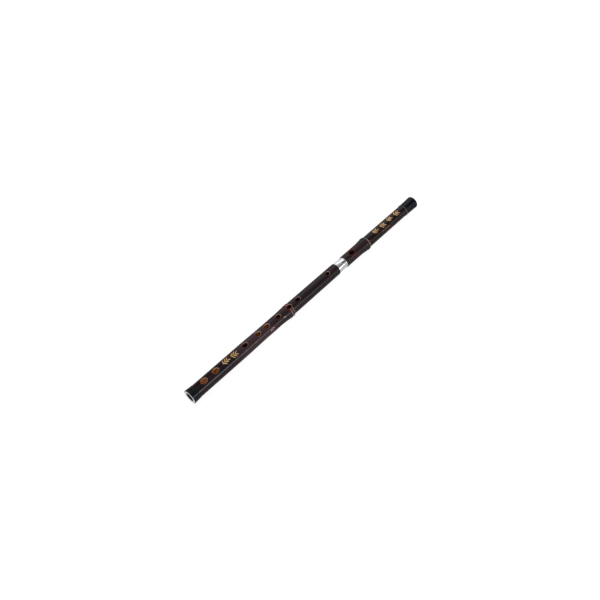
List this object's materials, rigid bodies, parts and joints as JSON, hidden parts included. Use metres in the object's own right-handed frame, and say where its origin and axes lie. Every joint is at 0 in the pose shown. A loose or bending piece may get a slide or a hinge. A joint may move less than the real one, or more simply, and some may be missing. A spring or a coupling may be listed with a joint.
{
  "type": "transverse bamboo flute",
  "caption": "Transverse bamboo flute in a foot section and a head section, joined by a sliding metal socket, with oval finger holes and flared black end sleeves.",
  "frame": {"origin": "centre of the bore in the plane of the foot's open mouth", "axes": "+X along the bore from foot to head, +Z out through the blow hole and finger holes, +Y completes the set"},
  "size_m": [0.6, 0.0266, 0.0266],
  "materials": {
    "bamboo": "dark stained and lacquered",
    "nickel_silver": "satin, turned",
    "horn": "polished black",
    "cork": "cut cork",
    "gold_paint": "dull gold paint"
  },
  "bodies": {
    "body": {"body_tube": "bamboo", "socket_sleeve": "nickel_silver", "foot_sleeve": "horn", "foot_lip_ring": "nickel_silver", "foot_leaf_paint": "gold_paint"},
    "tenon": {"tenon_sheath": "nickel_silver"},
    "head": {"head_tube": "bamboo", "head_sleeve": "horn", "head_lip_ring": "nickel_silver", "head_leaf_paint": "gold_paint"},
    "stopper": {"head_stopper": "cork"}
  },
  "joints": [
    {"name": "head_slide", "type": "slide", "parent": "body", "child": "tenon", "axis": [1, 0, 0], "range_m": [0, 0.045]},
    {"name": "head_turn", "type": "hinge", "parent": "tenon", "child": "head", "pos_m": [0.37, 0, 0], "axis": [1, 0, 0], "continuous": true},
    {"name": "stopper_slide", "type": "slide", "parent": "head", "child": "stopper", "axis": [1, 0, 0], "range_m": [-0.006, 0.006]}
  ]
}
